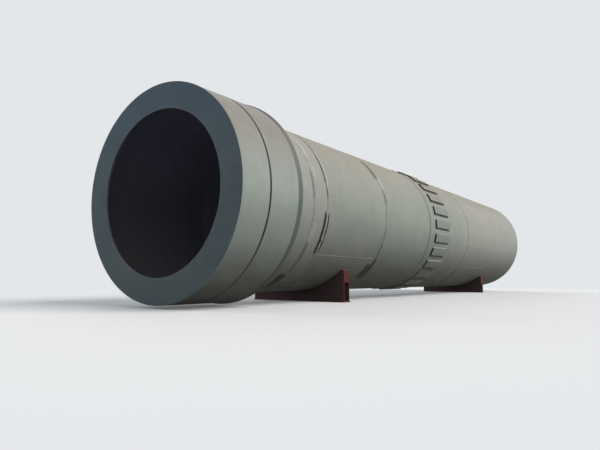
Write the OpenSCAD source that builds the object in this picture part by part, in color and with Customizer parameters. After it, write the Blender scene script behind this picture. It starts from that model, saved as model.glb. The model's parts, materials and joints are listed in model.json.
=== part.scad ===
// Rotary kiln shell with a wide drum at its front end, lying on two arc-cut saddles.
// The kiln's axis runs along X from the drum's face to the open far end.
// The origin is on the floor under the middle of the kiln's length.

/* [Drum] */
// Height of the step from the kiln shell out to the wide drum at the front end
drum_step = 175; // [100:5:400]
// Plate thickness of the drum
drum_wall = 25; // [16:1:40]
// Thickness of the annular plate that closes the drum's front
end_plate_t = 40; // [20:1:60]
// Width of that plate, from the drum's outside to the edge of its round opening
end_plate_width = 444; // [250:2:800]
// Length of the drum's front course, behind the end plate
drum_front_len = 620; // [300:5:1200]
// Length of the drum's rear course
drum_rear_len = 735; // [300:5:1200]
// Width of the groove between the two drum courses
groove_w = 20; // [6:1:40]
// Depth of the groove between the two drum courses
groove_depth = 12; // [3:1:14]

/* [Drum rim] */
// Length of the flared ring behind the rear drum course
rim_len = 73; // [20:1:150]
// How far the ring flares out beyond the drum
rim_rise = 22; // [5:1:80]
// Thickness of the annular plate that steps down to the kiln shell
step_plate_t = 25; // [12:1:50]

/* [Kiln shell] */
// Outside diameter of the kiln shell
shell_od = 3350; // [2800:10:4000]
// Plate thickness of the kiln shell
shell_wall = 25; // [16:1:45]
// Length of the neck's front course, behind the step plate
neck_front_len = 640; // [300:5:1200]
// Length of the neck's rear course
neck_rear_len = 455; // [200:5:1200]
// Length of the first full course
course_1_len = 2440; // [1500:10:3500]
// Length of the second full course
course_2_len = 2570; // [1500:10:3500]
// Length of the course that carries the tyre seat
tyre_course_len = 3100; // [2000:10:4000]
// Length of the first course behind the tyre course
end_course_1_len = 2900; // [1500:10:4000]
// Length of the last course, open at the far end
end_course_2_len = 3240; // [1500:10:4000]
// Width of the weld bevel on each edge of a course
bevel_w = 6; // [2:0.5:12]
// Depth of the weld bevel on each edge of a course
bevel_depth = 5; // [1:0.5:12]

/* [Tyre seat] */
// Number of filler pads round the shell under the missing tyre
pad_count = 28; // [12:1:36]
// Width of a pad along the shell's curve, in degrees
pad_angle = 7.1; // [3:0.1:9]
// Length of a pad along the kiln
pad_len = 1000; // [400:10:1500]
// Thickness of a pad
pad_t = 40; // [10:1:60]
// Distance from the front edge of the tyre course to the pads
pad_inset = 380; // [100:10:1200]
// Angle from the kiln's lowest line to the middle of the first pad
pad_phase = 10.5; // [0:0.5:12]

/* [Saddles] */
// Free height between the floor and the drum's flared rim
floor_gap = 28; // [10:1:200]
// Distance from the front of the first full course to the middle of the front saddle
saddle_1_inset = 1462; // [300:2:2200]
// Distance from the far end to the middle of the rear saddle
saddle_2_inset = 2938; // [600:2:5000]
// Angle over which the front saddle wraps round the shell
saddle_1_wrap = 87; // [64:1:100]
// Angle over which the rear saddle wraps round the shell
saddle_2_wrap = 76; // [64:1:100]
// Length of a saddle along the kiln, over its two webs
saddle_len = 230; // [150:5:500]
// Plate thickness of the webs
web_t = 20; // [10:1:30]
// Thickness of the flat plate under a saddle
base_plate_t = 20; // [10:1:30]
// How far the base plate stands out beyond the webs
base_ledge = 15; // [5:1:40]
// Thickness of the curved plate that carries the shell
cradle_t = 20; // [10:1:30]
// Width of the flat land at the top of each horn
horn_land = 40; // [20:1:100]
// Height of the plate that closes the upper part of each end
end_cap_h = 255; // [150:5:350]
// Thickness of the plates that close the ends
end_cap_t = 16; // [8:1:30]
// Distance between the stiffening ribs
rib_pitch = 400; // [250:10:400]
// Thickness of the stiffening ribs
rib_t = 16; // [8:1:30]

/* [Hidden] */
// Fitting gap between curved faces that seat on each other
seat_gap = 0.3;
$fn = 180;

shell_r = shell_od / 2;
drum_r = shell_r + drum_step;
opening_r = drum_r - end_plate_width;
rim_r = drum_r + rim_rise;
pad_base_r = shell_r + seat_gap;
cradle_in_r = shell_r + seat_gap;
cradle_out_r = cradle_in_r + cradle_t;
web_cut_r = cradle_out_r + seat_gap;

// Stations along the kiln, measured from the drum's face
x_drum_front = end_plate_t;
x_drum_rear = x_drum_front + drum_front_len;
x_rim = x_drum_rear + drum_rear_len;
x_step = x_rim + rim_len;
x_neck_front = x_step + step_plate_t;
x_neck_rear = x_neck_front + neck_front_len;
x_course_1 = x_neck_rear + neck_rear_len;
x_course_2 = x_course_1 + course_1_len;
x_tyre = x_course_2 + course_2_len;
x_end_1 = x_tyre + tyre_course_len;
x_end_2 = x_end_1 + end_course_1_len;
kiln_len = x_end_2 + end_course_2_len;

// Height of the kiln's axis above the floor
axis_h = floor_gap + rim_r;

SADDLE_X = [x_course_1 + saddle_1_inset, kiln_len - saddle_2_inset];
SADDLE_WRAP = [saddle_1_wrap, saddle_2_wrap];
// Half of each saddle's width across the kiln
SADDLE_HALF = [for (wrap = SADDLE_WRAP) cradle_out_r * sin(wrap / 2) + horn_land];
// Ribs that fit on each side of the middle one
RIB_SIDE = 2;

kiln_paint = [0.60, 0.62, 0.58];
plate_paint = [0.30, 0.35, 0.36];
rim_paint = [0.43, 0.46, 0.44];
saddle_paint = [0.45, 0.20, 0.20];

// Puts a shape that is revolved about Z onto the kiln's axis, at a station
module on_axis(station) {
    translate([station - kiln_len / 2, 0, axis_h])
        rotate([0, 90, 0])
            children();
}

// A revolved profile, given as points of radius and distance along the kiln
module ring(station, profile) {
    on_axis(station)
        rotate_extrude()
            polygon(profile);
}

// The outer corner of a course: square, or bevelled by a width and a depth
function corner(r, at, inward, bevel) =
    bevel[0] == 0
        ? [[r, at]]
        : [[r - bevel[1], at], [r, at + inward * bevel[0]]];

function reversed(points) = [for (i = [len(points) - 1:-1:0]) points[i]];

// Section through the wall of a rolled course with its edges prepared for welding
function course_profile(r, wall, length, front_bevel, rear_bevel) = concat(
    [[r - wall, 0]],
    corner(r, 0, 1, front_bevel),
    reversed(corner(r, length, -1, rear_bevel)),
    [[r - wall, length]]
);

SQUARE_EDGE = [0, 0];
WELD_EDGE = [bevel_w, bevel_depth];
GROOVE_EDGE = [groove_w / 2, groove_depth];

module end_plate() {
    color(plate_paint)
        on_axis(0)
            difference() {
                cylinder(h = end_plate_t, r = drum_r);
                translate([0, 0, -end_plate_t])
                    cylinder(h = 3 * end_plate_t, r = opening_r);
            }
}

module drum_front_course() {
    color(kiln_paint)
        ring(x_drum_front, course_profile(drum_r, drum_wall, drum_front_len, SQUARE_EDGE, GROOVE_EDGE));
}

module drum_rear_course() {
    color(kiln_paint)
        ring(x_drum_rear, course_profile(drum_r, drum_wall, drum_rear_len, GROOVE_EDGE, SQUARE_EDGE));
}

// The flare starts flush with the drum and ends at the edge of the step plate
module drum_rim_ring() {
    color(rim_paint)
        ring(x_rim, [
            [drum_r - drum_wall, 0],
            [drum_r, 0],
            [rim_r, rim_len],
            [drum_r - drum_wall, rim_len]
        ]);
}

module step_plate() {
    color(rim_paint)
        on_axis(x_step)
            difference() {
                cylinder(h = step_plate_t, r = rim_r);
                translate([0, 0, -step_plate_t])
                    cylinder(h = 3 * step_plate_t, r = shell_r - shell_wall);
            }
}

module shell_course(station, length, front_bevel = WELD_EDGE, rear_bevel = WELD_EDGE) {
    color(kiln_paint)
        ring(station, course_profile(shell_r, shell_wall, length, front_bevel, rear_bevel));
}

module neck_front_course() {
    shell_course(x_neck_front, neck_front_len, front_bevel = SQUARE_EDGE);
}

module neck_rear_course() {
    shell_course(x_neck_rear, neck_rear_len);
}

module shell_course_1() {
    shell_course(x_course_1, course_1_len);
}

module shell_course_2() {
    shell_course(x_course_2, course_2_len);
}

module tyre_course() {
    shell_course(x_tyre, tyre_course_len);
}

module end_course_1() {
    shell_course(x_end_1, end_course_1_len);
}

module end_course_2() {
    shell_course(x_end_2, end_course_2_len, rear_bevel = SQUARE_EDGE);
}

// One filler pad, its middle at an angle from the kiln's lowest line
module pad(middle) {
    on_axis(x_tyre + pad_inset)
        rotate([0, 0, middle - pad_angle / 2])
            rotate_extrude(angle = pad_angle)
                translate([pad_base_r, 0])
                    square([pad_t, pad_len]);
}

module tyre_seat_pads() {
    color(kiln_paint)
        for (i = [0:pad_count - 1])
            pad(pad_phase + i * 360 / pad_count);
}

// Height below the kiln's axis of a circle's lower half, at a distance across the kiln
function drop(r, across) = sqrt(r * r - across * across);

// Top of a saddle's horns above the floor
function horn_top(half) = axis_h - drop(web_cut_r, half - horn_land);

// Moves a shape that is drawn across the kiln to a saddle, starting at a distance along the kiln
module across_kiln(i, along, thick) {
    translate([SADDLE_X[i] - kiln_len / 2 + along, 0, 0])
        rotate([90, 0, 90])
            linear_extrude(height = thick)
                children();
}

// Outline of everything between the base plate and the cradle
module saddle_outline(half) {
    difference() {
        translate([-half, base_plate_t])
            square([2 * half, horn_top(half) - base_plate_t]);
        translate([0, axis_h])
            circle(r = web_cut_r);
    }
}

module saddle_base_plate(i) {
    color(saddle_paint)
        translate([
            SADDLE_X[i] - kiln_len / 2 - saddle_len / 2 - base_ledge,
            -SADDLE_HALF[i] - base_ledge,
            0
        ])
            cube([saddle_len + 2 * base_ledge, 2 * (SADDLE_HALF[i] + base_ledge), base_plate_t]);
}

module saddle_web(i, along) {
    color(saddle_paint)
        across_kiln(i, along, web_t)
            saddle_outline(SADDLE_HALF[i]);
}

// The curved plate ends where the lands of the horns begin
module saddle_cradle(i) {
    color(saddle_paint)
        on_axis(SADDLE_X[i] - saddle_len / 2)
            rotate([0, 0, -SADDLE_WRAP[i] / 2])
                rotate_extrude(angle = SADDLE_WRAP[i])
                    translate([cradle_in_r, 0])
                        square([cradle_t, saddle_len]);
}

// The upper part of each end is closed between the webs, and the lower part is open
module saddle_end_caps(i) {
    half = SADDLE_HALF[i];
    cap_len = saddle_len - 2 * web_t;
    color(saddle_paint)
        for (side = [-1, 1])
            translate([
                SADDLE_X[i] - kiln_len / 2 - cap_len / 2,
                side * (half - end_cap_t / 2) - end_cap_t / 2,
                horn_top(half) - end_cap_h
            ])
                cube([cap_len, end_cap_t, end_cap_h]);
}

module saddle_ribs(i) {
    rib_len = saddle_len - 2 * web_t;
    color(saddle_paint)
        across_kiln(i, -rib_len / 2, rib_len)
            intersection() {
                saddle_outline(SADDLE_HALF[i]);
                for (k = [-RIB_SIDE:RIB_SIDE])
                    translate([k * rib_pitch - rib_t / 2, 0])
                        square([rib_t, axis_h]);
            }
}

module saddle_1_base_plate() {
    saddle_base_plate(0);
}

module saddle_1_front_web() {
    saddle_web(0, -saddle_len / 2);
}

module saddle_1_rear_web() {
    saddle_web(0, saddle_len / 2 - web_t);
}

module saddle_1_cradle() {
    saddle_cradle(0);
}

module saddle_1_end_caps() {
    saddle_end_caps(0);
}

module saddle_1_ribs() {
    saddle_ribs(0);
}

module saddle_2_base_plate() {
    saddle_base_plate(1);
}

module saddle_2_front_web() {
    saddle_web(1, -saddle_len / 2);
}

module saddle_2_rear_web() {
    saddle_web(1, saddle_len / 2 - web_t);
}

module saddle_2_cradle() {
    saddle_cradle(1);
}

module saddle_2_end_caps() {
    saddle_end_caps(1);
}

module saddle_2_ribs() {
    saddle_ribs(1);
}

end_plate();
drum_front_course();
drum_rear_course();
drum_rim_ring();
step_plate();
neck_front_course();
neck_rear_course();
shell_course_1();
shell_course_2();
tyre_course();
end_course_1();
end_course_2();
tyre_seat_pads();
saddle_1_base_plate();
saddle_1_front_web();
saddle_1_rear_web();
saddle_1_cradle();
saddle_1_end_caps();
saddle_1_ribs();
saddle_2_base_plate();
saddle_2_front_web();
saddle_2_rear_web();
saddle_2_cradle();
saddle_2_end_caps();
saddle_2_ribs();
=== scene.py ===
import json
import math

import bmesh
import bpy
from mathutils import Matrix, Vector, noise


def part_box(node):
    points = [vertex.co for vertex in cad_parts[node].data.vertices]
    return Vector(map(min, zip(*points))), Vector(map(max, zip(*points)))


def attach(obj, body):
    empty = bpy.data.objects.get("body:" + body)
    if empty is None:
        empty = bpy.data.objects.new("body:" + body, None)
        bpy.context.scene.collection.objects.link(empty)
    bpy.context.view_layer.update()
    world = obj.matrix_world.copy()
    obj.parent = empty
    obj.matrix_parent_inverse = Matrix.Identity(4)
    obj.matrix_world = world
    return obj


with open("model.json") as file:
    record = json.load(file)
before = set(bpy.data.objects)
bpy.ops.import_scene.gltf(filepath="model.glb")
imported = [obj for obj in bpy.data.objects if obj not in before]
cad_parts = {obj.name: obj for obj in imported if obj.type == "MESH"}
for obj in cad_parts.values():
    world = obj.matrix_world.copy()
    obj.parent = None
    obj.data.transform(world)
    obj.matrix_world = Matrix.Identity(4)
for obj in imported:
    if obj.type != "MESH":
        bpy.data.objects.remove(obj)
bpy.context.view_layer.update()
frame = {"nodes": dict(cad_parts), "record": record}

# Sizes and places that the frame gives, in metres
PLATE_LO, PLATE_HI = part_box("end_plate")
FACE_X = PLATE_LO.x
DRUM_R = (PLATE_HI.y - PLATE_LO.y) / 2
AXIS_Z = (PLATE_HI.z + PLATE_LO.z) / 2
SHELL_LO, SHELL_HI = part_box("shell_course_1")
SHELL_R = (SHELL_HI.y - SHELL_LO.y) / 2
END_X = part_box("end_course_2")[1].x
PAD_LO, PAD_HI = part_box("tyre_seat_pads")

# Sizes that no box gives, as in the part's source
WALL = 0.025
END_PLATE_WIDTH = 0.444
OPENING_R = DRUM_R - END_PLATE_WIDTH
PAD_COUNT = 28
PAD_ANGLE = math.radians(7.1)
PAD_PHASE = math.radians(10.5)
PAD_PITCH = 2 * math.pi / PAD_COUNT

# Courses that start at a seam of the kiln shell, from the front to the far end
SEAM_COURSES = (
    "neck_rear_course",
    "shell_course_1",
    "shell_course_2",
    "tyre_course",
    "end_course_1",
    "end_course_2",
)


def front_of(node):
    """The x of a node's front face."""
    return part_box(node)[0].x


def back_of(node):
    """The x of a node's back face."""
    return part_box(node)[1].x


SHELL_SEAMS = [front_of(node) for node in SEAM_COURSES]

# The camera, as fitted to the rims and seams in the photograph. Its place is measured from the
# middle of the drum's face, in drum radii.
PHOTO_W = 600
FOCAL_PX = 533.9
SENSOR_MM = 36.0
CAMERA_OFFSET = Vector((-3.1038, -3.7482, -0.7485)) * DRUM_R
CAMERA_YAW = math.radians(35.3135)
CAMERA_PITCH = math.radians(5.6105)
CAMERA_ROLL = math.radians(0.2214)
CAMERA_REACH = 200


def add_camera():
    cam = bpy.data.cameras.new("camera")
    cam.sensor_width = SENSOR_MM
    cam.lens = SENSOR_MM * FOCAL_PX / PHOTO_W
    cam.clip_end = CAMERA_REACH
    obj = bpy.data.objects.new("camera", cam)
    bpy.context.scene.collection.objects.link(obj)
    forward = Vector((
        math.cos(CAMERA_PITCH) * math.cos(CAMERA_YAW),
        math.cos(CAMERA_PITCH) * math.sin(CAMERA_YAW),
        math.sin(CAMERA_PITCH),
    ))
    right = forward.cross(Vector((0, 0, 1))).normalized()
    up = right.cross(forward)
    turn = Matrix.Rotation(CAMERA_ROLL, 3, -forward)
    right, up = turn @ right, turn @ up
    place = Vector((FACE_X, 0, AXIS_Z)) + CAMERA_OFFSET
    obj.matrix_world = Matrix.Translation(place) @ Matrix((
        (right.x, up.x, -forward.x),
        (right.y, up.y, -forward.y),
        (right.z, up.z, -forward.z),
    )).to_4x4()
    bpy.context.scene.camera = obj


def srgb(r, g, b):
    """A screen colour, 0 to 255, as the linear colour that a shader takes."""
    return tuple(((c / 255 + 0.055) / 1.055) ** 2.4 for c in (r, g, b)) + (1.0,)


# Paint of the kiln shell
SHELL_GREEN = srgb(154, 162, 153)
SHELL_GREY = srgb(164, 167, 158)
SHELL_CLOUD = srgb(136, 146, 139)
SHELL_RUN = srgb(122, 124, 115)
ROLLED_PALE = srgb(174, 173, 164)
ROLLED_DARK = srgb(130, 136, 129)
THIN_PAINT = srgb(124, 122, 110)
PAINT_FLECK = srgb(194, 194, 184)
BEAD_GREY = srgb(112, 112, 102)
BEAD_BROWN = srgb(92, 84, 72)

# Marks on the shell
BLACK_SCALE = srgb(16, 17, 16)
RUST_STAIN = srgb(84, 74, 64)
SEAM_RUST = srgb(62, 57, 50)
DULL_GREEN = srgb(104, 113, 106)
OLIVE_STAIN = srgb(70, 70, 52)
DARK_OLIVE = srgb(30, 30, 22)
SOOT = srgb(62, 66, 62)
PALE_PRIMER = srgb(198, 198, 188)
CHALK = srgb(206, 205, 196)
NECK_GREY = srgb(178, 176, 178)
PINK_PRIMER = srgb(184, 176, 171)
# Painted shadow below each pad
PAD_SHADOW = srgb(52, 54, 49)

# Dust, painted shade on the lower half, grime with painted shade underneath, and specks on all paint
DUST = srgb(163, 151, 137)
DRUM_DUST = srgb(140, 127, 120)
# Painted shade on the lower half, then grime with painted shade underneath, on the shell and on the drum
LOWER_HALF_SHADE = srgb(114, 121, 119)
DIRT_AND_UNDERSIDE_SHADE = srgb(76, 69, 62)
DRUM_DIRT_AND_SHADE = srgb(112, 98, 92)
SPECK = srgb(112, 104, 92)

# Mill scale inside, near the drum and then deep in the kiln
SCALE_BLUE = srgb(150, 149, 158)
SCALE_BROWN = srgb(154, 145, 139)
SCALE_PIT = srgb(124, 116, 120)
# Painted light on the ceiling, and painted shade turning into painted light up the step plate
CEILING_PAINTED_LIGHT = srgb(188, 188, 222)
STEP_PAINTED_SHADE = srgb(128, 127, 138)
STEP_PAINTED_LIGHT = srgb(178, 176, 206)
SCALE_PAST_NECK = srgb(202, 207, 226)
DEEP_GREY = srgb(124, 119, 115)
DEEP_RUST = srgb(128, 108, 94)
DEEP_RUN = srgb(98, 90, 84)

# Drum
DRUM_GREEN = srgb(172, 182, 175)
DRUM_GREY = srgb(166, 175, 169)
DRUM_RUN = srgb(124, 128, 120)
DRUM_ROLLED = srgb(168, 169, 161)
DRUM_EDGE = srgb(170, 180, 173)
# Painted shade in the groove between the drum's courses
GROOVE_SHADE = srgb(38, 37, 34)
GROOVE_DUSTY = srgb(112, 114, 108)
GROOVE_TOP = srgb(66, 58, 48)

# Front plate
PLATE_FAR = srgb(114, 138, 149)
# Painted light on the plate's near side
PLATE_NEAR_PAINTED_LIGHT = srgb(136, 154, 162)
PLATE_TOP = srgb(118, 146, 168)
PLATE_LOW = srgb(138, 148, 142)
PLATE_CLOUD = srgb(112, 134, 144)
PLATE_RUN = srgb(130, 148, 157)
PLATE_SPECK = srgb(72, 78, 78)
PLATE_WORN = srgb(170, 164, 170)

# Flared ring and step plate
RIM_GREEN = srgb(106, 120, 115)
RIM_GREY = srgb(116, 125, 119)
RIM_SPOT = srgb(92, 91, 83)
RIM_DUST = srgb(132, 127, 122)
# Painted shade at the top of the ring
RIM_TOP_SHADE = srgb(78, 79, 84)
RIM_LOW = srgb(132, 128, 117)

# Pads, their faces and then their edges
PAD_GREY = srgb(146, 152, 144)
PAD_GREEN = srgb(134, 141, 134)
PAD_SPOT = srgb(108, 102, 90)
# Painted shade on the lowest pads' faces, and painted shade and painted light on the edges
PAD_LOW_SHADE = srgb(94, 92, 80)
EDGE_DARK = srgb(46, 49, 46)
EDGE_BROWN = srgb(60, 58, 52)
EDGE_PAINTED_LIGHT = srgb(190, 190, 180)
LOW_EDGE_PAINTED_LIGHT = srgb(186, 186, 172)
LOW_EDGE_TOP_SHADE = srgb(96, 97, 88)

# Saddles
RED_OXIDE = srgb(95, 44, 44)
RED_DARK = srgb(83, 38, 39)
RED_SCUFF = srgb(142, 92, 84)
RED_DUST = srgb(146, 118, 104)
RED_FOOT = srgb(92, 72, 64)
RED_SPOT = srgb(70, 42, 36)
RED_EDGE = srgb(128, 104, 92)
# Painted light on the webs, greyer and paler
WEB_PAINTED_LIGHT = srgb(132, 112, 114)

# Floor and background
BACKGROUND = srgb(228, 231, 234)
FLOOR_PALE = srgb(238, 239, 240)
FLOOR_PALER = srgb(242, 243, 244)
FLOOR_BOUNCE = srgb(82, 82, 79)
FLOOR_LIFT = (0.10, 0.10, 0.10, 1.0)
FILL_COLOR = srgb(220, 228, 238)

# Dull enough that dark marks stay dark where the shell is seen at a flat angle
SPECULAR_LEVEL = 0.22
# Depth of the fine grain of paint, and of the coarser grain of welds and the flared ring, in metres
GRAIN_DEPTH = 0.002
COARSE_DEPTH = 0.003

# Ranges, in metres, over which one tone fades into the next. Heights are above the floor.
STEP_LIGHT_Z = (1.9, 3.4)
SCALE_DEEP_X = (-3.5, 1.0)
GROOVE_DUSTY_Z = (1.25, 0.55)
GROOVE_TOP_Z = (AXIS_Z + 0.9, AXIS_Z + 1.7)
PLATE_LIGHT_Y = (1.7, -1.7)
PLATE_TOP_Z = (2.2, 3.7)
PLATE_LOW_Z = (2.6, 0.3)
RIM_DUST_Z = (AXIS_Z - 0.3, AXIS_Z + 1.2)
RIM_TOP_Z = (AXIS_Z + 1.0, AXIS_Z + 1.75)
RIM_LOW_Z = (1.15, 0.45)
PAD_SHADOW_Z = (0.85, 1.05)
PAD_LOW_Z = (1.15, 0.55)
LOW_EDGE_Z = (1.02, 0.74)
RED_FOOT_Z = (0.14, 0.0)
# The same for distances from the groove and from the front plate's opening
GROOVE_AWAY = (0.030, 0.016)
GROOVE_TOP_AWAY = (0.065, 0.035)
PLATE_WORN_R = (OPENING_R + 0.034, OPENING_R + 0.012)


class Shader:
    """A material's node tree, with short calls for the nodes that repeat."""

    def __init__(self, name):
        self.mat = bpy.data.materials.new(name)
        self.mat.use_nodes = True
        self.tree = self.mat.node_tree
        self.tree.nodes.clear()
        self.out = self.node("OutputMaterial")
        self.bsdf = self.node("BsdfPrincipled")
        self.tree.links.new(self.bsdf.outputs[0], self.out.inputs[0])
        self.place = self.node("TexCoord").outputs["Object"]
        self.x, self.y, self.z = self.split(self.place)

    def node(self, kind):
        return self.tree.nodes.new("ShaderNode" + kind)

    def feed(self, socket, value):
        """Links a socket to another one, or gives it a plain value."""
        if isinstance(value, bpy.types.NodeSocket):
            self.tree.links.new(value, socket)
        else:
            socket.default_value = value

    def split(self, vector):
        node = self.node("SeparateXYZ")
        self.feed(node.inputs[0], vector)
        return tuple(node.outputs)

    def calc(self, op, *values):
        node = self.node("Math")
        node.operation = op
        for socket, value in zip(node.inputs, values):
            self.feed(socket, value)
        return node.outputs[0]

    def plus(self, a, b):
        return self.calc("ADD", a, b)

    def minus(self, a, b):
        return self.calc("SUBTRACT", a, b)

    def times(self, *values):
        product = values[0]
        for value in values[1:]:
            product = self.calc("MULTIPLY", product, value)
        return product

    def smooth(self, value, low, high):
        """0 below low and 1 above high, or the other way round where low is the larger."""
        node = self.node("MapRange")
        node.interpolation_type = "SMOOTHSTEP"
        self.feed(node.inputs["Value"], value)
        node.inputs["From Min"].default_value = min(low, high)
        node.inputs["From Max"].default_value = max(low, high)
        node.inputs["To Min"].default_value = 0.0 if low < high else 1.0
        node.inputs["To Max"].default_value = 1.0 if low < high else 0.0
        return node.outputs[0]

    def window(self, value, low, high, soft):
        """1 between low and high, falling to 0 over the soft width outside."""
        return self.times(self.smooth(value, low - soft, low), self.smooth(value, high + soft, high))

    def noise(self, scale, detail=4.0, rough=0.55, stretch=None):
        """Noise by the place in metres, or with a factor of its own for each axis."""
        place = self.place
        if stretch:
            mapping = self.node("Mapping")
            self.feed(mapping.inputs["Vector"], place)
            mapping.inputs["Scale"].default_value = stretch
            place = mapping.outputs[0]
        node = self.node("TexNoise")
        self.feed(node.inputs["Vector"], place)
        node.inputs["Scale"].default_value = scale
        node.inputs["Detail"].default_value = detail
        node.inputs["Roughness"].default_value = rough
        return node.outputs["Fac"]

    def mix(self, factor, a, b):
        node = self.node("Mix")
        node.data_type = "RGBA"
        node.clamp_factor = True
        self.feed(node.inputs[0], factor)
        self.feed(node.inputs[6], a)
        self.feed(node.inputs[7], b)
        return node.outputs[2]

    def tint(self, color, tone, strength, *masks):
        """Brings a colour towards a tone by a strength, where all the masks are 1."""
        return self.mix(self.times(*masks, strength), color, tone)

    def bump(self, height, strength, distance, normal=None):
        node = self.node("Bump")
        node.inputs["Strength"].default_value = strength
        node.inputs["Distance"].default_value = distance
        self.feed(node.inputs["Height"], height)
        if normal is not None:
            self.feed(node.inputs["Normal"], normal)
        return node.outputs[0]

    def geometry_normal(self):
        return self.node("NewGeometry").outputs["Normal"]

    def normal(self):
        """The surface's own normal, as x, y and z."""
        return self.split(self.geometry_normal())

    def edges(self, radius):
        """1 along sharp outer edges, and 0 on the flat."""
        rounded = self.node("Bevel")
        rounded.samples = 4
        rounded.inputs["Radius"].default_value = radius
        dot = self.node("VectorMath")
        dot.operation = "DOT_PRODUCT"
        self.feed(dot.inputs[0], rounded.outputs[0])
        self.feed(dot.inputs[1], self.geometry_normal())
        return self.smooth(dot.outputs["Value"], 0.995, 0.90)

    def above_axis(self):
        return self.minus(self.z, AXIS_Z)

    def radius(self):
        """Distance from the kiln's axis."""
        up = self.above_axis()
        return self.calc("SQRT", self.plus(self.times(self.y, self.y), self.times(up, up)))

    def elevation(self):
        """Angle in radians from the near side's middle up over the top, from -90 to 270 degrees."""
        angle = self.calc("ARCTAN2", self.above_axis(), self.times(self.y, -1.0))
        return self.calc("WRAP", angle, 1.5 * math.pi, -0.5 * math.pi)

    def facing_out(self):
        """1 where the surface faces straight away from the axis, and 0 on an edge or a flat end."""
        _, ny, nz = self.normal()
        along = self.plus(self.times(ny, self.y), self.times(nz, self.above_axis()))
        return self.calc("DIVIDE", along, self.radius())

    def finish(self, color, rough, normal=None):
        self.feed(self.bsdf.inputs["Base Color"], color)
        self.feed(self.bsdf.inputs["Roughness"], rough)
        self.bsdf.inputs["Specular IOR Level"].default_value = SPECULAR_LEVEL
        if normal is not None:
            self.feed(self.bsdf.inputs["Normal"], normal)
        return self.mat


# Marks on the shell: distance from the drum's face to the middle, width, lowest and highest angle
# from the near side's middle up over the top, tone, and strength
MARKS = [
    # The neck is greyer, and has patches beside its seam
    (2.040, 0.980, -60, 150, NECK_GREY, 0.30),
    (2.170, 0.170, 18, 50, PALE_PRIMER, 0.60),
    (1.960, 0.300, 44, 80, PALE_PRIMER, 0.22),
    (2.200, 0.130, -28, -15, PALE_PRIMER, 0.30),
    (2.120, 0.070, 3, 20, RUST_STAIN, 0.38),
    (2.180, 0.070, -50, -28, OLIVE_STAIN, 0.55),
    (2.090, 0.180, -66, -54, DARK_OLIVE, 0.98),
    (2.130, 0.130, -72, -60, DARK_OLIVE, 0.90),
    (1.800, 0.240, 8, 55, PALE_PRIMER, 0.16),
    (2.140, 0.120, 112, 141, PALE_PRIMER, 0.40),
    (2.140, 0.100, 206, 229, BLACK_SCALE, 0.65),
    # The seam in front of the first full course, with a double black strip
    (2.580, 0.026, 3, 75, SEAM_RUST, 0.85),
    (2.565, 0.060, 14, 32, SEAM_RUST, 0.60),
    (2.625, 0.040, 12, 36, CHALK, 0.55),
    (2.584, 0.070, -31, -8, PALE_PRIMER, 1.00),
    (2.527, 0.060, -32, -8, BLACK_SCALE, 1.00),
    (2.640, 0.034, -31, -8, BLACK_SCALE, 1.00),
    (2.560, 0.080, -34, -31, BLACK_SCALE, 0.45),
    (2.590, 0.036, 100, 200, RUST_STAIN, 0.60),
    # The seam behind it
    (4.960, 0.150, 31, 49, RUST_STAIN, 0.75),
    (5.085, 0.070, 18, 31, CHALK, 0.60),
    (5.062, 0.060, 10, 20, RUST_STAIN, 0.65),
    (5.045, 0.050, -33, -24, SOOT, 0.75),
    (5.045, 0.040, -24, -12, SOOT, 0.50),
    (4.895, 0.024, -30, -15, SOOT, 0.35),
    (5.005, 0.270, -54, -42, DARK_OLIVE, 0.88),
    (5.080, 0.120, -57, -37, DARK_OLIVE, 0.80),
    (5.030, 0.150, 138, 157, BLACK_SCALE, 0.55),
    (5.040, 0.080, 168, 181, PALE_PRIMER, 0.60),
    # In front of the tyre course
    (7.605, 0.120, -80, 75, DULL_GREEN, 0.42),
    (7.600, 0.100, 105, 230, DULL_GREEN, 0.35),
    # Behind the tyre course, where the paint is lighter
    (13.600, 5.200, -12, 35, PINK_PRIMER, 0.26),
    (13.600, 5.200, -58, -12, PINK_PRIMER, 0.10),
    (10.705, 0.036, -28, 40, RUST_STAIN, 0.42),
    (10.735, 0.110, -66, -44, SEAM_RUST, 0.80),
    (10.710, 0.060, 120, 172, RUST_STAIN, 0.50),
]


def mill_scale(s, color, rough, radius):
    """Turns what lies inside a wall of an outer radius into dark mill scale with rust."""
    outside = s.smooth(s.radius(), radius - WALL * 0.9, radius - WALL * 0.6)
    patches = s.smooth(s.noise(1.7, detail=6, rough=0.65), 0.42, 0.68)
    pits = s.smooth(s.noise(30, detail=4), 0.58, 0.7)
    nx, _, nz = s.normal()
    scale = s.mix(patches, SCALE_BLUE, SCALE_BROWN)
    scale = s.tint(scale, SCALE_PIT, 0.5, pits)
    # Painted light makes the ceiling paler. The step plate, which faces the opening, has painted shade low
    # down that turns into painted light towards the top
    scale = s.tint(scale, CEILING_PAINTED_LIGHT, 0.75, s.smooth(nz, 0.1, -0.8))
    step = s.mix(s.smooth(s.z, *STEP_LIGHT_Z), STEP_PAINTED_SHADE, STEP_PAINTED_LIGHT)
    scale = s.tint(scale, step, 0.8, s.smooth(nx, -0.5, -0.9))
    # Past the neck it is a little paler, and towards the far end darker and browner
    scale = s.tint(scale, SCALE_PAST_NECK, 0.40, s.smooth(s.x, SHELL_LO.x - 0.02, SHELL_LO.x + 0.02))
    streaks = s.smooth(s.noise(1.0, detail=5, stretch=(0.8, 6, 6)), 0.5, 0.75)
    deep = s.tint(s.mix(patches, DEEP_GREY, DEEP_RUST), DEEP_RUN, 0.5, streaks)
    scale = s.mix(s.smooth(s.x, *SCALE_DEEP_X), scale, deep)
    dull = s.times(s.minus(1.0, outside), 0.8)
    return s.mix(outside, scale, color), s.calc("MAXIMUM", rough, dull)


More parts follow.
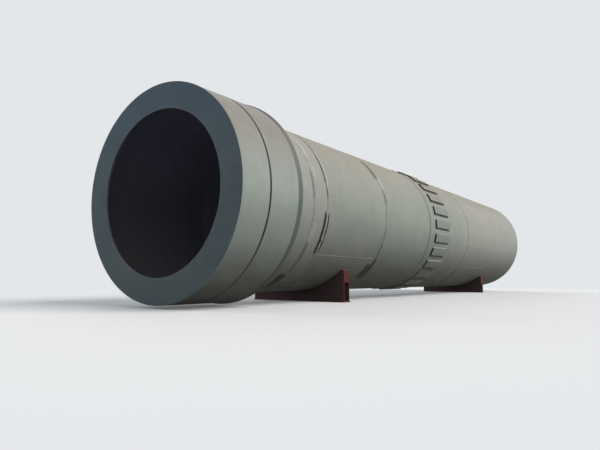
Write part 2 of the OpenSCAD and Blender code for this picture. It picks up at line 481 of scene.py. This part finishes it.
def aged(s, color, dust=DUST, dust_from=0.1, dust_full=0.95, dirt_and_shade=DIRT_AND_UNDERSIDE_SHADE):
    """Dust on what faces up, painted shade on what faces down with grime under it, and fine specks
    everywhere.
    """
    up = s.normal()[2]
    cloudy = s.noise(3.1, detail=5, rough=0.6)
    color = s.tint(color, dust, 0.7, s.smooth(up, dust_from, dust_full), s.smooth(cloudy, -0.2, 0.55))
    # Painted shade on the lower half
    color = s.tint(color, LOWER_HALF_SHADE, 0.34, s.smooth(s.plus(up, s.times(cloudy, 0.12)), 0.14, -0.30))
    # Grime with painted shade on what faces down
    color = s.tint(color, dirt_and_shade, 0.50, s.smooth(up, -0.30, -0.92), s.smooth(cloudy, 1.0, 0.3))
    return s.tint(color, SPECK, 0.30, s.smooth(s.noise(46, detail=3), 0.66, 0.76))


def aged_drum(s, color, dirt_and_shade):
    """The drum is dusty well down its sides."""
    return aged(s, color, DRUM_DUST, -0.05, 0.60, dirt_and_shade)


def satin(s, cloudy):
    """Roughness of the paint, satin on the sides, dull with dust on top and with dirt below."""
    up = s.normal()[2]
    dull = s.calc("MAXIMUM", s.smooth(up, 0.55, 1.0), s.smooth(up, -0.15, -0.60))
    return s.plus(s.plus(s.times(cloudy, 0.22), 0.36), s.times(dull, 0.26))


def plate_relief(s, wave_strength, grain_strength, wave_scale=0.9, wave_depth=0.03, grain_scale=85):
    """The slow waves of rolled plate, and the paint's grain on them."""
    waves = s.bump(s.noise(wave_scale, detail=2), wave_strength, wave_depth)
    return s.bump(s.noise(grain_scale, detail=3), grain_strength, GRAIN_DEPTH, waves)


def pad_shadow_band(s):
    """1 in the strip below each pad's lower edge, where the pad's shadow is painted, apart from the lowest
    pads.
    """
    angle = s.calc("ARCTAN2", s.y, s.times(s.above_axis(), -1.0))
    turns = s.calc("DIVIDE", s.minus(angle, PAD_PHASE), PAD_PITCH)
    offset = s.minus(turns, s.calc("ROUND", turns))
    down = s.times(s.calc("SIGN", s.y), offset, -1.0)
    edge = PAD_ANGLE / PAD_PITCH / 2
    return s.times(
        s.window(down, edge - 0.05, edge + 0.10, 0.05),
        s.window(s.x, PAD_LO.x - 0.02, PAD_HI.x + 0.01, 0.03),
        s.smooth(s.z, *PAD_SHADOW_Z),
    )


def shell_color(s, cloudy):
    """The weathered grey-green paint outside, with every mark that the shell carries."""
    broad = s.smooth(s.noise(0.45, detail=3), 0.35, 0.65)
    runs = s.smooth(s.noise(1.0, detail=6, rough=0.65, stretch=(16, 0.8, 0.8)), 0.55, 0.8)
    rolling = s.noise(1.0, detail=4, rough=0.6, stretch=(0.7, 9, 9))
    color = s.mix(broad, SHELL_GREEN, SHELL_GREY)
    color = s.tint(color, SHELL_CLOUD, 0.35, s.smooth(cloudy, 0.45, 0.75))
    color = s.tint(color, SHELL_RUN, 0.32, runs)
    color = s.tint(color, ROLLED_PALE, 0.22, s.smooth(rolling, 0.55, 0.8))
    color = s.tint(color, ROLLED_DARK, 0.20, s.smooth(rolling, 0.45, 0.2))
    color = aged(s, color)

    # Beside each seam but the last the paint is brushed on thin and speckled
    gap = None
    for seam in SHELL_SEAMS[:-1]:
        away = s.calc("ABSOLUTE", s.minus(s.x, seam))
        gap = away if gap is None else s.calc("MINIMUM", gap, away)
    beside = s.smooth(s.plus(gap, s.times(cloudy, 0.06)), 0.13, 0.03)
    flecks = s.smooth(s.noise(18, detail=3), 0.60, 0.66)
    color = s.tint(color, THIN_PAINT, 0.26, beside)
    color = s.tint(color, PAINT_FLECK, 0.50, s.smooth(gap, 0.11, 0.02), flecks)

    # The marks' edges are ragged
    ragged = s.times(s.minus(s.noise(11, detail=5, rough=0.65), 0.5), 0.09)
    along = s.plus(s.x, s.times(ragged, 0.5))
    around = s.plus(s.elevation(), ragged)
    patchy = s.smooth(s.noise(5, detail=4, rough=0.6), 0.35, 0.6)
    for middle, width, low, high, tone, strength in MARKS:
        at = FACE_X + middle
        mark = s.times(
            s.window(along, at - width / 2, at + width / 2, width * 0.22),
            s.window(around, math.radians(low), math.radians(high), 0.05),
        )
        color = s.tint(color, tone, strength, mark, patchy if tone == PALE_PRIMER else 1.0)
    return color


def shell_paint():
    """Paint outside, dark mill scale inside."""
    s = Shader("kiln_paint")
    cloudy = s.noise(2.6, detail=5, rough=0.6)
    # Painted shadow in the strip below each pad
    color = s.tint(shell_color(s, cloudy), PAD_SHADOW, 0.80, pad_shadow_band(s))
    color, rough = mill_scale(s, color, satin(s, cloudy), SHELL_R)
    return s.finish(color, rough, plate_relief(s, 0.25, 0.12))


def bead_paint():
    """Weld beads on the shell, painted over with it."""
    s = Shader("painted_bead")
    cloudy = s.noise(2.6, detail=5, rough=0.6)
    ripple = s.noise(110, detail=2)
    color = s.mix(0.22, shell_color(s, cloudy), BEAD_GREY)
    color = s.tint(color, BEAD_BROWN, 0.35, s.smooth(ripple, 0.55, 0.75))
    return s.finish(color, s.plus(s.times(ripple, 0.2), 0.36), s.bump(ripple, 0.5, COARSE_DEPTH))


def drum_paint():
    """Paint of the drum's two courses, dusty brown on top, with painted shade in the groove between them.
    """
    s = Shader("drum_paint")
    cloudy = s.noise(2.2, detail=5, rough=0.6)
    runs = s.smooth(s.noise(1.0, detail=6, rough=0.65, stretch=(12, 0.7, 0.7)), 0.52, 0.8)
    rolling = s.smooth(s.noise(1.0, detail=4, rough=0.6, stretch=(0.9, 8, 8)), 0.55, 0.8)
    color = s.mix(s.smooth(cloudy, 0.35, 0.7), DRUM_GREEN, DRUM_GREY)
    color = s.tint(color, DRUM_RUN, 0.26, runs)
    color = s.tint(color, DRUM_ROLLED, 0.18, rolling)
    color = aged_drum(s, color, DRUM_DIRT_AND_SHADE)
    # The groove has painted shade that turns dusty towards the ground, and a wider brown band at the top
    away = s.calc("ABSOLUTE", s.minus(s.x, front_of("drum_rear_course")))
    groove = s.mix(s.smooth(s.z, *GROOVE_DUSTY_Z), GROOVE_SHADE, GROOVE_DUSTY)
    color = s.tint(color, groove, 0.92, s.smooth(away, *GROOVE_AWAY))
    color = s.tint(color, GROOVE_TOP, 0.75, s.smooth(away, *GROOVE_TOP_AWAY), s.smooth(s.z, *GROOVE_TOP_Z))
    color, rough = mill_scale(s, color, satin(s, cloudy), DRUM_R)
    return s.finish(color, rough, plate_relief(s, 0.2, 0.10))


def end_plate_paint():
    """Slate paint on the front plate, with painted light towards the near side, bluer at the top and
    greener at the bottom.
    """
    s = Shader("end_plate_paint")
    cloudy = s.noise(1.6, detail=5, rough=0.6)
    runs = s.smooth(s.noise(1.0, detail=5, rough=0.6, stretch=(3, 16, 0.9)), 0.55, 0.85)
    # Painted light: the plate is lighter towards the near side
    color = s.mix(s.smooth(s.y, *PLATE_LIGHT_Y), PLATE_FAR, PLATE_NEAR_PAINTED_LIGHT)
    color = s.tint(color, PLATE_TOP, 0.6, s.smooth(s.z, *PLATE_TOP_Z))
    color = s.tint(color, PLATE_LOW, 0.6, s.smooth(s.z, *PLATE_LOW_Z))
    color = s.tint(color, PLATE_CLOUD, 0.5, s.smooth(cloudy, 0.35, 0.7))
    color = s.tint(color, PLATE_RUN, 0.25, runs)
    color = s.tint(color, PLATE_SPECK, 0.3, s.smooth(s.noise(40, detail=3), 0.66, 0.75))
    # Round the opening the paint is worn pale
    ragged = s.plus(s.radius(), s.times(s.noise(9, detail=4), 0.024))
    color = s.tint(color, PLATE_WORN, 0.65, s.smooth(ragged, *PLATE_WORN_R))
    # Its outer edge is painted with the drum
    color = s.mix(s.smooth(s.facing_out(), 0.5, 0.9), color, aged_drum(s, DRUM_EDGE, DIRT_AND_UNDERSIDE_SHADE))
    rough = s.plus(s.times(cloudy, 0.2), 0.42)
    relief = plate_relief(s, 0.15, 0.10, wave_scale=1.3, wave_depth=0.02, grain_scale=80)
    return s.finish(color, rough, relief)


def rim_paint():
    """Paint of the flared ring and the step plate, dusty above the axis and near the ground, with painted
    shade at the very top.
    """
    s = Shader("rim_paint")
    cloudy = s.noise(2.8, detail=5, rough=0.6)
    color = s.mix(s.smooth(cloudy, 0.35, 0.7), RIM_GREEN, RIM_GREY)
    color = s.tint(color, RIM_SPOT, 0.5, s.smooth(s.noise(18, detail=4), 0.55, 0.72))
    color = s.tint(color, RIM_DUST, 0.75, s.smooth(s.z, *RIM_DUST_Z))
    # Painted shade at the very top
    color = s.tint(color, RIM_TOP_SHADE, 0.75, s.smooth(s.z, *RIM_TOP_Z))
    color = s.tint(color, RIM_LOW, 0.6, s.smooth(s.z, *RIM_LOW_Z))
    color, rough = mill_scale(s, color, s.plus(s.times(cloudy, 0.2), 0.5), DRUM_R)
    return s.finish(color, rough, s.bump(s.noise(60, detail=3), 0.2, COARSE_DEPTH))


def pad_paint():
    """Painted faces, and dark edges of bare steel with painted shade. Edges that face up carry a painted
    highlight. The lowest pads' faces carry painted shade, and their edges painted light, with painted
    shade where they face up.
    """
    s = Shader("pad_paint")
    facing_up = s.smooth(s.normal()[2], 0.10, 0.35)
    cloudy = s.noise(3.4, detail=5, rough=0.6)
    face = s.mix(s.smooth(cloudy, 0.35, 0.7), PAD_GREY, PAD_GREEN)
    face = s.tint(face, PAD_SPOT, 0.4, s.smooth(s.noise(20, detail=3), 0.6, 0.7))
    # Painted shade on the lowest pads' faces
    face = s.tint(aged(s, face), PAD_LOW_SHADE, 0.75, s.smooth(s.z, *PAD_LOW_Z))
    # Edges: bare steel with painted shade, and a painted highlight where they face up
    edge = s.mix(s.smooth(cloudy, 0.4, 0.6), EDGE_DARK, EDGE_BROWN)
    edge = s.mix(facing_up, edge, EDGE_PAINTED_LIGHT)
    # On the lowest pads the edges turn lighter with painted light, and darker with painted shade where
    # they face up
    edge = s.mix(s.smooth(s.z, *LOW_EDGE_Z), edge, s.mix(facing_up, LOW_EDGE_PAINTED_LIGHT, LOW_EDGE_TOP_SHADE))
    color = s.mix(s.smooth(s.facing_out(), 0.5, 0.9), edge, face)
    rough = s.plus(s.times(cloudy, 0.2), 0.42)
    return s.finish(color, rough, s.bump(s.noise(70, detail=3), 0.15, GRAIN_DEPTH))


def saddle_paint():
    """Red oxide with scuffs, dust on what faces up, grime on the feet, and painted light on the webs."""
    s = Shader("saddle_paint")
    nx, _, nz = s.normal()
    cloudy = s.noise(4.5, detail=6, rough=0.62)
    scuffs = s.smooth(s.noise(1.0, detail=6, rough=0.7, stretch=(6, 22, 5)), 0.6, 0.75)
    spots = s.smooth(s.noise(30, detail=4), 0.62, 0.7)
    color = s.mix(s.smooth(cloudy, 0.35, 0.7), RED_OXIDE, RED_DARK)
    color = s.tint(color, RED_SCUFF, 0.5, scuffs)
    color = s.tint(color, RED_DUST, 0.6, s.smooth(nz, 0.3, 0.9), s.smooth(cloudy, 0.2, 0.6))
    color = s.tint(color, RED_FOOT, 0.6, s.smooth(s.z, *RED_FOOT_Z), s.smooth(cloudy, 0.3, 0.6))
    color = s.tint(color, RED_SPOT, 0.6, spots)
    # Painted light: the webs, which face along the kiln, are greyer and paler
    color = s.tint(color, WEB_PAINTED_LIGHT, 0.75, s.smooth(s.calc("ABSOLUTE", nx), 0.5, 0.9))
    color = s.tint(color, RED_EDGE, 0.8, s.edges(0.006), s.smooth(cloudy, 0.35, 0.6))
    rough = s.plus(s.times(cloudy, 0.2), 0.6)
    return s.finish(color, rough, s.bump(s.noise(60, detail=4), 0.25, GRAIN_DEPTH))


def weld_metal(name, dark, light):
    s = Shader(name)
    ripple = s.noise(120, detail=2)
    color = s.mix(s.smooth(s.noise(14, detail=5), 0.4, 0.65), dark, light)
    return s.finish(color, s.plus(s.times(ripple, 0.3), 0.45), s.bump(ripple, 0.6, COARSE_DEPTH))


PAINTS = {
    "kiln_paint": shell_paint(),
    "drum_paint": drum_paint(),
    "end_plate_paint": end_plate_paint(),
    "rim_paint": rim_paint(),
    "pad_paint": pad_paint(),
    "saddle_paint": saddle_paint(),
}
PAINTED_WELD = bead_paint()
DRUM_WELD = weld_metal("drum_weld", srgb(150, 157, 150), srgb(168, 174, 167))
BRIGHT_WELD = weld_metal("bright_weld", srgb(140, 142, 135), srgb(172, 172, 163))
INNER_WELD = weld_metal("inner_weld", srgb(150, 148, 158), srgb(170, 166, 176))
SADDLE_WELD = weld_metal("saddle_weld", srgb(104, 50, 48), srgb(128, 70, 64))


def paint_nodes():
    """Gives each CAD node its paint. The drum's courses have their own, apart from the kiln shell's."""
    for part in frame["record"]["subparts"]:
        node = part["node"]
        own_paint = node.startswith("drum_") and "rim" not in node
        mesh = frame["nodes"][node].data
        mesh.materials.clear()
        mesh.materials.append(PAINTS["drum_paint" if own_paint else part["material_slot"]])


def add_piece(name, points, faces, material):
    mesh = bpy.data.meshes.new(name)
    mesh.from_pydata(points, [], faces)
    mesh.update()
    for face in mesh.polygons:
        face.use_smooth = True
    mesh.materials.append(material)
    obj = bpy.data.objects.new(name, mesh)
    bpy.context.scene.collection.objects.link(obj)
    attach(obj, "root")
    return obj


# A weld bead's section, as shares of its width and height, from one toe to the other, then its root
BEAD_SECTION = [(-0.5, 0.0), (-0.3, 0.7), (0.0, 1.0), (0.3, 0.7), (0.5, 0.0), (0.0, -1.2)]
# Cross sections round a ring bead, and the distance between those of a straight one
RING_STEPS = 480
LINE_STEP = 0.03
# How much a bead's size and place vary, as shares of its width, and how often it does so
RING_SWELL = 0.25
RING_DRIFT = 0.15
LINE_SWELL = 0.3
WAVES_ROUND = 9
WAVES_ALONG = 3

# Width and height of each kind of bead
SEAM_BEAD = (0.028, 0.003)
INNER_BEAD = (0.028, -0.003)
DRUM_FRONT_BEAD = (0.010, 0.0012)
DRUM_RIM_BEAD = (0.012, 0.0015)
LONG_BEAD = (0.024, 0.0028)
BRIGHT_BEAD = (0.018, 0.0028)
# Distance from a course's edges to the ends of its lengthwise bead
LONG_BEAD_INSET = 0.02

# Lengthwise seams, each at its own angle in degrees so that no two courses' seams line up
LONG_SEAMS = {
    "drum_front_course": (118, DRUM_WELD),
    "drum_rear_course": (-150, DRUM_WELD),
    "neck_front_course": (150, PAINTED_WELD),
    "neck_rear_course": (95, PAINTED_WELD),
    "shell_course_1": (-35.1, BRIGHT_WELD),
    "shell_course_2": (140, PAINTED_WELD),
    "tyre_course": (100, PAINTED_WELD),
    "end_course_1": (-38.5, PAINTED_WELD),
    "end_course_2": (160, PAINTED_WELD),
}


def round_axis(x, r, angle):
    """A point at a radius from the kiln's axis. Angle 0 is on the near side, a quarter turn is the top."""
    return (x, -r * math.cos(angle), AXIS_Z + r * math.sin(angle))


def wobble(x, angle, seed):
    """A smooth number from -1 to 1 that varies round a bead."""
    place = (math.cos(angle) * WAVES_ROUND, math.sin(angle) * WAVES_ROUND, x * WAVES_ALONG + seed)
    return noise.noise(Vector(place))


def ring_bead(name, x, r, size, material=PAINTED_WELD):
    """A bead round the kiln, raised to the inside where its height is negative."""
    width, height = size
    points = []
    faces = []
    count = len(BEAD_SECTION)
    total = RING_STEPS * count
    for i in range(RING_STEPS):
        angle = 2 * math.pi * i / RING_STEPS
        swell = 1 + RING_SWELL * wobble(x, angle, 0)
        drift = RING_DRIFT * width * wobble(x, angle, 7)
        for u, v in BEAD_SECTION:
            points.append(round_axis(x + drift + u * width * swell, r + v * height * swell, angle))
        for k in range(count):
            a, b = i * count + k, i * count + (k + 1) % count
            faces.append((a, (a + count) % total, (b + count) % total, b))
    return add_piece(name, points, faces, material)


def line_bead(name, x0, x1, r, angle, size, material):
    """A bead along a course, closed at both ends."""
    width, height = size
    steps = max(8, int((x1 - x0) / LINE_STEP))
    points = []
    faces = []
    count = len(BEAD_SECTION)
    for i in range(steps + 1):
        x = x0 + (x1 - x0) * i / steps
        swell = 1 + LINE_SWELL * wobble(x * 2, angle, 3)
        for u, v in BEAD_SECTION:
            points.append(round_axis(x, r + v * height * swell, angle + u * width * swell / r))
        if i:
            for k in range(count):
                a, b = (i - 1) * count + k, (i - 1) * count + (k + 1) % count
                faces.append((a, b, b + count, a + count))
    faces.append(tuple(reversed(range(count))))
    faces.append(tuple(steps * count + k for k in range(count)))
    return add_piece(name, points, faces, material)


def add_seam_beads():
    for number, seam in enumerate(SHELL_SEAMS, start=1):
        ring_bead(f"seam_bead_{number}", seam, SHELL_R, SEAM_BEAD)
        ring_bead(f"inner_bead_{number}", seam, SHELL_R - WALL, INNER_BEAD, INNER_WELD)
    ring_bead("drum_front_bead", back_of("end_plate"), DRUM_R, DRUM_FRONT_BEAD, DRUM_WELD)
    ring_bead("drum_rim_bead", front_of("drum_rim_ring"), DRUM_R, DRUM_RIM_BEAD, DRUM_WELD)


def add_long_beads():
    for node, (angle, metal) in LONG_SEAMS.items():
        radius = DRUM_R if node.startswith("drum") else SHELL_R
        start, end = front_of(node) + LONG_BEAD_INSET, back_of(node) - LONG_BEAD_INSET
        size = BRIGHT_BEAD if metal is BRIGHT_WELD else LONG_BEAD
        line_bead(f"{node}_long_bead", start, end, radius, math.radians(angle), size, metal)


# Leg of the fillet welds, and half width and rise of the flat beads where plates end flush
PAD_LEG = 0.011
SADDLE_LEG = 0.010
FLAT_BEAD_HALF = 0.007
FLAT_BEAD_RISE = 0.002
# A fillet's crown as a share of its two toes together, and its buried root as a share of the crown
CROWN_SHARE = 0.60
ROOT_SHARE = 0.15
# How much a straight fillet swells, how often, and the distance between its cross sections
FILLET_SWELL = 0.18
FILLET_WAVES = 14
FILLET_STEP = 0.1
# Steps of a fillet along a pad's curved end and along a saddle's arc
PAD_ARC_STEPS = 5
SADDLE_ARC_STEPS = 40


class Welds:
    """Weld beads that are gathered into one mesh. Each has a root line and two toes."""

    def __init__(self):
        self.points = []
        self.faces = []

    def run(self, roots, toe_a, toe_b):
        """Adds a bead. The toes are offsets from each root to where the bead ends on a surface."""
        base = len(self.points)
        for root, a, b in zip(roots, toe_a, toe_b):
            crown = (a + b) * CROWN_SHARE
            self.points += [root - crown * ROOT_SHARE, root + a, root + crown, root + b]
        for i in range(len(roots) - 1):
            for k in range(4):
                p, q = base + 4 * i + k, base + 4 * i + (k + 1) % 4
                self.faces.append((p, q, q + 4, p + 4))
        last = base + 4 * (len(roots) - 1)
        self.faces.append((base + 3, base + 2, base + 1, base))
        self.faces.append((last, last + 1, last + 2, last + 3))

    def line(self, start, end, a, b):
        """Adds a straight bead whose size swells and shrinks a little."""
        count = max(2, round((end - start).length / FILLET_STEP) + 1)
        roots = [start.lerp(end, i / (count - 1)) for i in range(count)]
        swell = [1 + FILLET_SWELL * noise.noise(root * FILLET_WAVES) for root in roots]
        self.run(roots, [a * w for w in swell], [b * w for w in swell])

    def build(self, name, material):
        obj = add_piece(name, [tuple(p) for p in self.points], self.faces, material)
        mesh = bmesh.new()
        mesh.from_mesh(obj.data)
        bmesh.ops.recalc_face_normals(mesh, faces=mesh.faces)
        mesh.to_mesh(obj.data)
        mesh.free()


def out_from_axis(angle):
    """The direction away from the axis. Angle 0 is straight down, a quarter turn is the far side."""
    return Vector((0, math.sin(angle), -math.cos(angle)))


def round_from_axis(angle):
    """The direction in which the angle grows."""
    return Vector((0, math.cos(angle), math.sin(angle)))


def at_radius(x, r, angle):
    """A point at a radius from the axis, by the same angle as out_from_axis."""
    return Vector((x, 0, AXIS_Z)) + out_from_axis(angle) * r


def between(low, high, steps):
    return [low + (high - low) * k / steps for k in range(steps + 1)]


def add_pad_welds():
    """A fillet weld round the foot of each pad."""
    welds = Welds()
    ends = ((PAD_LO.x, Vector((-PAD_LEG, 0, 0))), (PAD_HI.x, Vector((PAD_LEG, 0, 0))))
    for i in range(PAD_COUNT):
        middle = PAD_PHASE + i * PAD_PITCH
        low, high = middle - PAD_ANGLE / 2, middle + PAD_ANGLE / 2
        for angle, away in ((low, -1), (high, 1)):
            welds.line(
                at_radius(PAD_LO.x, SHELL_R, angle), at_radius(PAD_HI.x, SHELL_R, angle),
                round_from_axis(angle) * away * PAD_LEG, out_from_axis(angle) * PAD_LEG,
            )
        angles = between(low, high, PAD_ARC_STEPS)
        for x, toe in ends:
            feet = [at_radius(x, SHELL_R, a) for a in angles]
            welds.run(feet, [toe] * len(feet), [out_from_axis(a) * PAD_LEG for a in angles])
    welds.build("pad_welds", PAINTS["pad_paint"])


def add_saddle_welds(saddle):
    """Fillets where the webs stand on the base, and flat beads where plates end flush."""
    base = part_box(f"{saddle}_base_plate")
    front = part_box(f"{saddle}_front_web")
    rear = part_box(f"{saddle}_rear_web")
    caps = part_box(f"{saddle}_end_caps")
    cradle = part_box(f"{saddle}_cradle")
    half = front[1].y
    seat_r = AXIS_Z - cradle[0].z
    wrap = math.asin(cradle[1].y / seat_r)
    welds = Welds()
    for x, away in ((front[0].x, -1), (rear[1].x, 1)):
        out = Vector((away, 0, 0))
        foot = Vector((x, 0, base[1].z))
        side = Vector((0, half, 0))
        welds.line(foot - side, foot + side, out * SADDLE_LEG, Vector((0, 0, SADDLE_LEG)))
        angles = between(-wrap, wrap, SADDLE_ARC_STEPS)
        arc = [at_radius(x, seat_r, a) for a in angles]
        widths = [out_from_axis(a) * FLAT_BEAD_HALF for a in angles]
        rise = out * FLAT_BEAD_RISE
        welds.run(arc, [rise + w for w in widths], [rise - w for w in widths])
    for side in (-1, 1):
        rise = Vector((0, side * FLAT_BEAD_RISE, 0))
        width = Vector((FLAT_BEAD_HALF, 0, 0))
        for x in (caps[0].x, caps[1].x):
            low = Vector((x, side * half, caps[0].z))
            high = Vector((x, side * half, caps[1].z))
            welds.line(low, high, rise + width, rise - width)
    welds.build(f"{saddle}_welds", SADDLE_WELD)


# The floor's half size, and the distances from the kiln over which it fades into the background
FLOOR_HALF = 90
FADE_FROM = 2.0
FADE_FULL = 9.0
FILL_STRENGTH = 0.27

# Lamps: name, direction that the light comes from, strength, width in degrees, and colour
LAMPS = [
    ("key", (0.35, -1.0, 0.76), 2.6, 45, (1.0, 0.97, 0.92)),
    ("back", (0.30, 1.0, 0.36), 1.6, 80, (0.94, 0.97, 1.0)),
]


def camera_or_glossy(tree):
    """1 for the rays that see the background: from the camera, by reflection and through glass."""
    path = tree.nodes.new("ShaderNodeLightPath")
    seen = path.outputs["Is Camera Ray"]
    for kind in ("Is Glossy Ray", "Is Transmission Ray"):
        either = tree.nodes.new("ShaderNodeMath")
        either.operation = "MAXIMUM"
        tree.links.new(seen, either.inputs[0])
        tree.links.new(path.outputs[kind], either.inputs[1])
        seen = either.outputs[0]
    return seen


def add_floor():
    """A pale floor that meets the background without an edge. Only seen rays find it pale."""
    mesh = bpy.data.meshes.new("floor")
    corners = [(x * FLOOR_HALF, y * FLOOR_HALF, 0) for x, y in ((-1, -1), (1, -1), (1, 1), (-1, 1))]
    mesh.from_pydata(corners, [], [(0, 1, 2, 3)])
    floor = bpy.data.objects.new("floor", mesh)
    bpy.context.scene.collection.objects.link(floor)
    s = Shader("floor_grey")
    s.tree.nodes.remove(s.bsdf)
    matte = s.node("BsdfDiffuse")
    pale = s.mix(s.noise(0.5), FLOOR_PALE, FLOOR_PALER)
    s.feed(matte.inputs["Color"], s.mix(camera_or_glossy(s.tree), FLOOR_BOUNCE, pale))
    lift = s.node("Emission")
    lift.inputs["Color"].default_value = FLOOR_LIFT
    s.feed(lift.inputs["Strength"], camera_or_glossy(s.tree))
    near = s.node("AddShader")
    s.feed(near.inputs[0], matte.outputs[0])
    s.feed(near.inputs[1], lift.outputs[0])
    glow = s.node("Emission")
    glow.inputs["Color"].default_value = BACKGROUND
    over_x = s.calc("MAXIMUM", s.minus(s.calc("ABSOLUTE", s.x), END_X), 0.0)
    over_y = s.calc("MAXIMUM", s.minus(s.calc("ABSOLUTE", s.y), DRUM_R), 0.0)
    far = s.calc("SQRT", s.plus(s.times(over_x, over_x), s.times(over_y, over_y)))
    blend = s.node("MixShader")
    s.feed(blend.inputs[0], s.times(s.smooth(far, FADE_FROM, FADE_FULL), camera_or_glossy(s.tree)))
    s.feed(blend.inputs[1], near.outputs[0])
    s.feed(blend.inputs[2], glow.outputs[0])
    s.feed(s.out.inputs[0], blend.outputs[0])
    floor.data.materials.append(s.mat)


def add_world():
    """Soft light from all round, with the plain background where the camera sees it."""
    world = bpy.data.worlds.new("studio")
    bpy.context.scene.world = world
    world.use_nodes = True
    tree = world.node_tree
    tree.nodes.clear()
    out = tree.nodes.new("ShaderNodeOutputWorld")
    fill = tree.nodes.new("ShaderNodeBackground")
    fill.inputs["Color"].default_value = FILL_COLOR
    fill.inputs["Strength"].default_value = FILL_STRENGTH
    seen = tree.nodes.new("ShaderNodeBackground")
    seen.inputs["Color"].default_value = BACKGROUND
    mix = tree.nodes.new("ShaderNodeMixShader")
    tree.links.new(camera_or_glossy(tree), mix.inputs[0])
    tree.links.new(fill.outputs[0], mix.inputs[1])
    tree.links.new(seen.outputs[0], mix.inputs[2])
    tree.links.new(mix.outputs[0], out.inputs[0])


def add_lamps():
    """Even soft lights, the same along the whole kiln."""
    for name, direction, strength, width, color in LAMPS:
        lamp = bpy.data.lights.new(name, "SUN")
        lamp.energy = strength
        lamp.angle = math.radians(width)
        lamp.color = color
        obj = bpy.data.objects.new(name, lamp)
        bpy.context.scene.collection.objects.link(obj)
        obj.rotation_euler = Vector(direction).to_track_quat("Z", "Y").to_euler()


add_camera()
paint_nodes()
add_seam_beads()
add_long_beads()
add_pad_welds()
add_saddle_welds("saddle_1")
add_saddle_welds("saddle_2")
add_floor()
add_world()
add_lamps()

bpy.context.scene.view_settings.view_transform = "Standard"
